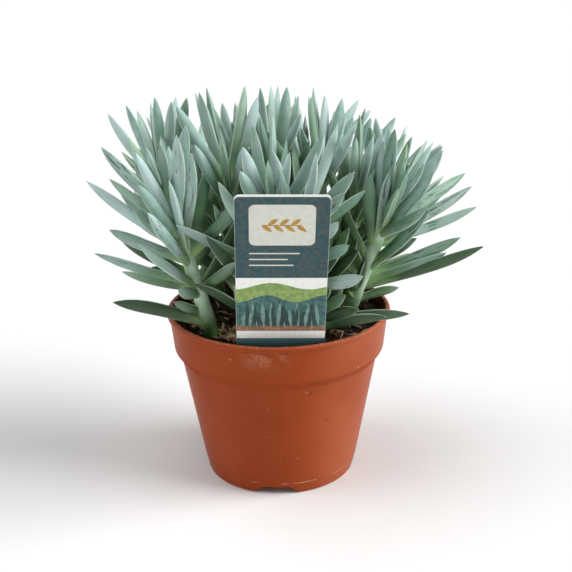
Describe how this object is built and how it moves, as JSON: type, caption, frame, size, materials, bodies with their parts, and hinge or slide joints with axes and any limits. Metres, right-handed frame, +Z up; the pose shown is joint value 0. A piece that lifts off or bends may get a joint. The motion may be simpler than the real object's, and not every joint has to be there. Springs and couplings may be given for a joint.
{
  "type": "potted succulent",
  "caption": "Blue-grey finger-leaved succulent with upright leafy stems in a round tapered nursery pot, with a plain plant label standing at the front.",
  "frame": {"origin": "middle of the pot's underside, on the surface it stands on", "axes": "+Z up along the pot's axis, -Y towards the side with the label, +X to the right as seen from that side"},
  "size_m": [0.2159, 0.1967, 0.229],
  "materials": {
    "pot_plastic": "satin terracotta-coloured plastic",
    "peat": "damp crumbly peat with pale fibres",
    "label_plastic": "printed satin plastic card",
    "leaf": "fleshy blue-green with a matt pale bloom"
  },
  "bodies": {
    "root": {"pot": "pot_plastic", "soil": "peat", "plant_label": "label_plastic", "leafy_stem_front_left": "leaf", "leafy_stem_front_centre": "leaf", "leafy_stem_front_right": "leaf", "leafy_stem_right": "leaf", "leafy_stem_left": "leaf", "leafy_stem_centre_left": "leaf", "leafy_stem_centre": "leaf", "leafy_stem_centre_right": "leaf", "leafy_stem_right_middle": "leaf", "leafy_stem_right_back": "leaf", "leafy_stem_back_left": "leaf", "leafy_stem_back_centre_left": "leaf", "leafy_stem_back_centre_right": "leaf", "leafy_stem_back_right": "leaf", "leafy_stem_back": "leaf"}
  },
  "joints": []
}
